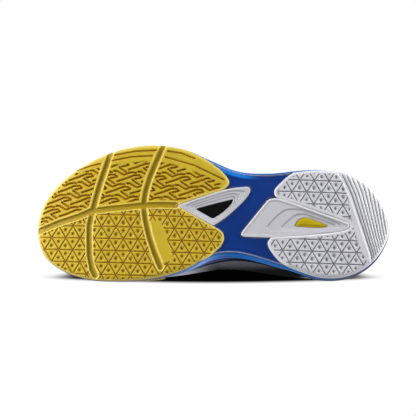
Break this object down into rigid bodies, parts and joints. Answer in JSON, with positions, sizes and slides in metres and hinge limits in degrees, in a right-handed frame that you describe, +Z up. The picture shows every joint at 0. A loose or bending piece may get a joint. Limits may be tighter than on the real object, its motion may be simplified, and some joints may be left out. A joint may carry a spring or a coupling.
{
  "type": "court shoe",
  "caption": "Low-cut left court shoe standing on its sole: multi-field gum forefoot rubber, blue waist plate with white frames, white heel rubber, removable insole and padded tongue.",
  "frame": {"origin": "on the ground under the shoe, at the middle of its length and width", "axes": "+X from heel to toe, +Y to the outer (lateral) side, +Z up from the sole to the collar"},
  "size_m": [0.2897, 0.1119, 0.1056],
  "materials": {
    "gum_rubber": "satin moulded gum rubber, yellow",
    "white_rubber": "matte moulded rubber, white",
    "plate_blue": "smooth injection-moulded plate, deep blue",
    "frame_white": "satin injection-moulded plastic, white",
    "insert_black": "glossy woven-fibre insert, black",
    "cushion_yellow": "soft polymer pad, yellow",
    "foam_blue": "matte moulded foam, deep blue",
    "wing_blue": "satin moulded plastic, bright blue",
    "board": "stitched fibre board",
    "sock_foam": "open-cell foam, blue",
    "sock_textile": "knitted textile, blue",
    "mesh_white": "engineered mesh, white",
    "film_blue": "heat-bonded synthetic overlay, blue",
    "film_bright": "heat-bonded synthetic overlay, bright blue",
    "stiffener": "pressed stiffener sheet, grey",
    "lining": "brushed textile lining, blue",
    "lining_grey": "textile lining, grey",
    "clip_blue": "satin moulded plastic, deep blue"
  },
  "bodies": {
    "shoe": {"forefoot_outsole": "gum_rubber", "heel_outsole": "white_rubber", "shank_plate": "plate_blue", "midfoot_frame": "frame_white", "window_insert": "insert_black", "heel_frame": "frame_white", "heel_cushion": "cushion_yellow", "midsole": "foam_blue", "lateral_side_wing": "wing_blue", "medial_side_wing": "wing_blue", "insole_board": "board", "vamp": "mesh_white", "lateral_quarter": "mesh_white", "medial_quarter": "mesh_white", "toe_cap": "film_blue", "toe_drag_guard": "gum_rubber", "lateral_eyestay": "film_blue", "medial_eyestay": "film_blue", "lateral_saddle": "film_bright", "medial_saddle": "film_bright", "heel_clip": "clip_blue", "heel_tab": "film_bright", "toe_puff": "stiffener", "vamp_lining": "lining_grey", "heel_counter": "stiffener", "collar_padding": "lining"},
    "tongue": {"tongue_shell": "mesh_white", "tongue_foam": "lining"},
    "sockliner": {"sockliner_foam": "sock_foam", "sockliner_cover": "sock_textile"}
  },
  "joints": [
    {"name": "tongue_hinge", "type": "hinge", "parent": "shoe", "child": "tongue", "pos_m": [0.05, -0.001, 0.047], "axis": [0, -1, 0], "range_deg": [0, 10], "stiffness_Nm_per_rad": 0.4},
    {"name": "sockliner_lift", "type": "hinge", "parent": "shoe", "child": "sockliner", "pos_m": [0.1318, 0, 0.0275], "axis": [0, 1, 0], "range_deg": [0, 4]}
  ]
}
